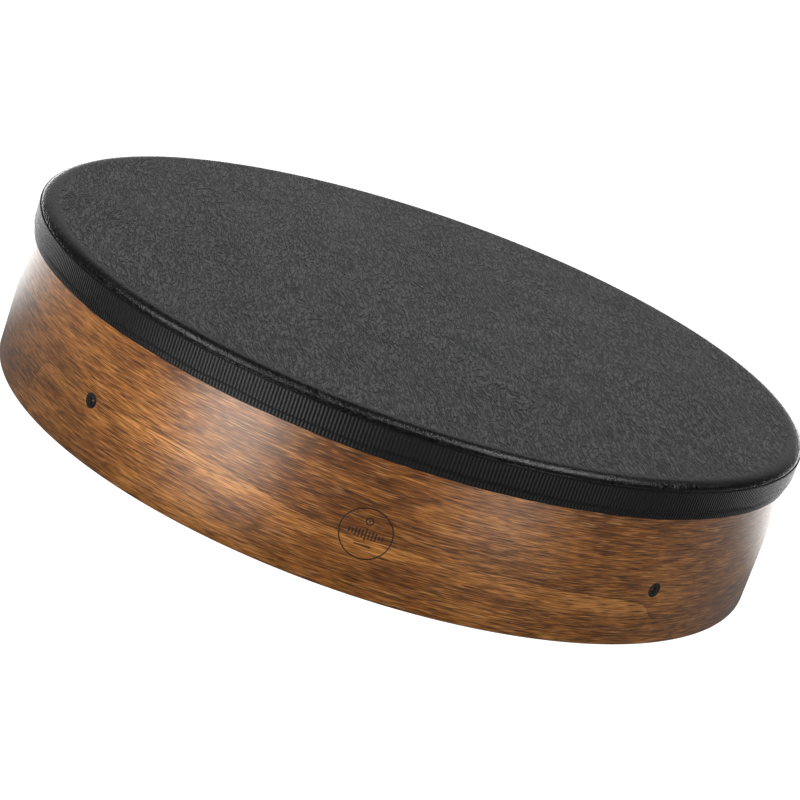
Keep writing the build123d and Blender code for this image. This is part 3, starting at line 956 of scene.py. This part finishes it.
# ------------------------------------------------------------------ screws
def screws():
    b = Builder()
    N = 96
    ang = 360.0 * np.arange(N) / N

    def cross(scale_arm, scale_width, turn):
        """Outline of a cross recess in polar form."""
        arm, half = 2.3 * MM * scale_arm, 0.62 * MM * scale_width
        a = (ang - turn + 45.0) % 90.0 - 45.0
        a = np.radians(a)
        with np.errstate(divide="ignore"):
            side = np.where(np.abs(a) > 1e-6, half / np.maximum(np.abs(np.sin(a)), 1e-6), 1.0)
        return np.minimum(arm / np.cos(a), side)

    for index, deg in enumerate(SCREW_DEGS):
        turn = (18.0, 63.0, 40.0, 7.0)[index]
        a = math.radians(deg)
        out = np.array((math.cos(a), math.sin(a), 0.0))
        side = np.array((-math.sin(a), math.cos(a), 0.0))
        upv = np.array((0.0, 0.0, 1.0))
        origin = out * SCREW_TOP_R + upv * SCREW_Z

        def loop(radius, depth):
            r = np.broadcast_to(radius, (N,))
            t = np.radians(ang)
            return b.add(origin + np.outer(r * np.cos(t), side) + np.outer(r * np.sin(t), upv) - depth * out)

        sections = [
            (cross(0.30, 0.42, turn), 1.85 * MM),
            (cross(0.62, 0.62, turn), 1.45 * MM),
            (cross(0.93, 0.90, turn), 0.30 * MM),
            (cross(0.99, 0.97, turn), 0.06 * MM),
            (cross(1.04, 1.08, turn), 0.0),
            (np.full(N, 2.75 * MM), 0.0),
            (np.full(N, 3.9 * MM), 0.0),
            (np.full(N, 4.32 * MM), 0.02 * MM),
            (np.full(N, 4.45 * MM), 0.08 * MM),
            (np.full(N, 4.5 * MM), 0.20 * MM),
            (np.full(N, 4.5 * MM), 0.40 * MM),
            (np.full(N, 3.35 * MM), 1.55 * MM),
            (np.full(N, 1.7 * MM), 3.2 * MM),
            (np.full(N, 1.7 * MM), 20.0 * MM),
            (np.full(N, 1.7 * MM), 37.0 * MM),
            (np.full(N, 0.25 * MM), 41.9 * MM),
        ]
        last = None
        start = len(b.f)
        for radius, depth in sections:
            ids = loop(radius, depth)
            if last is None:
                centre = b.add([origin - 2.0 * MM * out])[0]
                b.f += [(ids[(k + 1) % N], ids[k], centre) for k in range(N)]
            else:
                b.bridge(last, ids)
            last = ids
        tip = b.add([origin - 42.0 * MM * out])[0]
        b.f += [(last[k], last[(k + 1) % N], tip) for k in range(N)]
        if volume(b.v, b.f[start:]) < 0:
            b.flip(start)
    ob = b.object("crossbar_screw_set")
    ob.data.set_sharp_from_angle(angle=math.radians(38))
    return ob


screw_set = screws()
screw_set.data.materials.append(black_screw())
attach(screw_set, "root")
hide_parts("crossbar_screws")

# ------------------------------------------------------------------ the crossbars keep their CAD shape
for node, deg, seed in (("crossbar_lower", BAR_DEGS[0], 21.0), ("crossbar_upper", BAR_DEGS[1], 33.0)):
    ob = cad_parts[node]
    ob.data.materials.clear()
    ob.data.materials.append(bar_wood(node + "_wood", deg, seed))

# ------------------------------------------------------------------ floor, world and lights
g = Nodes("studio_floor")
fx, fy, fz = g.xyz(g.where())[:3]
g.set(color=(0.12, 0.12, 0.12), rough=0.9, spec=0.1)
# the far half of the sweep is lit through, as a light table is
lit = g.mul(g.range(fy, -0.02, 0.20, smooth=True), g.range(fy, 1.3, 3.2, 1.0, 0.25, smooth=True))
# and two soft pools of light fan out in front of the drum, to the left and to the right
px_, py_ = g.add(fx, 0.010), g.add(fy, 0.152)
turn = g.mul(g.math("ARCTAN2", py_, px_), 180.0 / math.pi)
reach = g.math("SQRT", g.add(g.mul(px_, px_), g.mul(py_, py_)))
from_axis = g.math("SQRT", g.add(g.mul(fx, fx), g.mul(fy, fy)))
near = g.mul(g.range(reach, 0.32, 0.66, 1.0, 0.0, smooth=True), g.range(from_axis, 0.27, 0.42))
pool_l = g.range(g.math("ABSOLUTE", g.add(turn, 132.0)), 3.0, 22.0, 1.0, 0.0, smooth=True)
pool_r = g.range(g.math("ABSOLUTE", g.add(turn, 52.0)), 2.0, 20.0, 1.0, 0.0, smooth=True)
pools = g.mul(near, g.add(g.mul(g.mul(pool_l, g.range(from_axis, 0.35, 0.45, 1.0, 2.4)), 8.2), g.mul(g.mul(pool_r, g.range(from_axis, 0.38, 0.46)), 7.0)))
g.put(g.bsdf.inputs["Emission Color"], (1, 1, 1, 1))
glow = g.add(g.add(0.20, pools), g.mul(lit, 4.0))
# the floor itself is seen as one even white, whatever light it sends to the drum
seen = g.t.nodes.new("ShaderNodeLightPath").outputs["Is Camera Ray"]
g.put(g.bsdf.inputs["Emission Strength"], g.add(g.mul(seen, 1.15), g.mul(g.sub(1.0, seen), glow)))
fb = Builder()
ring = [fb.add([(r * math.cos(2 * math.pi * k / 64), r * math.sin(2 * math.pi * k / 64), -0.0004) for k in range(64)]) for r in (14.0, 4.0, 1.0)]
fb.bridge(ring[0], ring[1])
fb.bridge(ring[1], ring[2])
fb.fan(ring[2], fb.add([(0, 0, -0.0004)])[0])
floor = fb.object("floor")
floor.data.materials.append(g.mat)

world = bpy.data.worlds.new("studio")
world.use_nodes = True
wt = world.node_tree
wt.nodes.clear()
w_out = wt.nodes.new("ShaderNodeOutputWorld")
w_bg = wt.nodes.new("ShaderNodeBackground")
w_tc = wt.nodes.new("ShaderNodeTexCoord")
w_sep = wt.nodes.new("ShaderNodeSeparateXYZ")
w_ramp = wt.nodes.new("ShaderNodeValToRGB")
wt.links.new(w_tc.outputs["Generated"], w_sep.inputs[0])
wt.links.new(w_sep.outputs["Z"], w_ramp.inputs[0])
# a pale wall all round up to 28 degrees, and a dark room above it
e = w_ramp.color_ramp.elements
e[0].position, e[0].color = 0.0, (0.34, 0.34, 0.34, 1)
e[1].position, e[1].color = 1.0, (0.03, 0.03, 0.03, 1)
for pos, val in ((0.42, 0.32), (0.50, 0.025)):
    el = e.new(pos)
    el.color = (val, val, val, 1)
wt.links.new(w_ramp.outputs["Color"], w_bg.inputs["Color"])


def wmath(op, p, q=0.0):
    n = wt.nodes.new("ShaderNodeMath")
    n.operation = op
    for s, value in zip(n.inputs, (p, q)):
        if isinstance(value, bpy.types.NodeSocket):
            wt.links.new(value, s)
        else:
            s.default_value = value
    return n.outputs[0]


# the pale wall is brightest straight behind, in front and at the sides, and dim at the corners
ax, ay = wmath("ABSOLUTE", w_sep.outputs["X"]), wmath("ABSOLUTE", w_sep.outputs["Y"])
flat_len = wmath("SQRT", wmath("ADD", wmath("MULTIPLY", ax, ax), wmath("MULTIPLY", ay, ay)))
lobe = wmath("DIVIDE", wmath("MAXIMUM", ax, ay), wmath("MAXIMUM", flat_len, 1e-4))
w_lobe = wt.nodes.new("ShaderNodeMapRange")
w_lobe.interpolation_type = "SMOOTHSTEP"
for s, value in zip(w_lobe.inputs[1:5], (0.80, 0.97, 0.30, 1.25)):
    s.default_value = value
wt.links.new(lobe, w_lobe.inputs[0])
wt.links.new(w_lobe.outputs[0], w_bg.inputs["Strength"])
wt.links.new(w_bg.outputs[0], w_out.inputs["Surface"])
bpy.context.scene.world = world


def softbox(name, where, target, size, power, color=(1, 1, 1)):
    d = bpy.data.lights.new(name, "AREA")
    d.shape = "RECTANGLE"
    d.size, d.size_y = size
    d.energy = power
    d.color = color
    ob = link(bpy.data.objects.new(name, d))
    where, target = Vector(where), Vector(target)
    z = (where - target).normalized()
    x = Vector((0, 0, 1)).cross(z).normalized()
    y = z.cross(x)
    mat = Matrix.Identity(4)
    for k in range(3):
        mat[k][0], mat[k][1], mat[k][2], mat[k][3] = x[k], y[k], z[k], where[k]
    ob.matrix_world = mat
    ob.visible_camera = False
    return ob


softbox("strip_left", (-1.00, -1.08, 0.46), (0, 0, 0.10), (0.20, 0.92), 5.8)
softbox("strip_right", (0.93, -1.17, 0.46), (0, 0, 0.10), (0.15, 0.92), 5.0)
# a fill for the near wall, which is not to show as a reflection on the head from behind
fill = softbox("strip_front", (-0.10, -1.45, 0.55), (0.0, 0.0, 0.07), (0.40, 0.55), 12.5)
fill.visible_glossy = False
softbox("overhead_left", (-0.85, 0.10, 1.5), (-0.85, 0.05, 0.0), (0.5, 1.0), 11)
softbox("overhead_right", (0.52, 0.35, 1.5), (0.52, 0.30, 0.0), (0.5, 0.85), 9.5)
softbox("overhead_small", (-0.08, -0.05, 1.5), (-0.08, -0.10, 0.0), (0.3, 0.25), 0.8)

scene = bpy.context.scene
scene.view_settings.view_transform = "Standard"
scene.view_settings.look = "None"
scene.view_settings.exposure = 0.0
scene.view_settings.gamma = 1.0
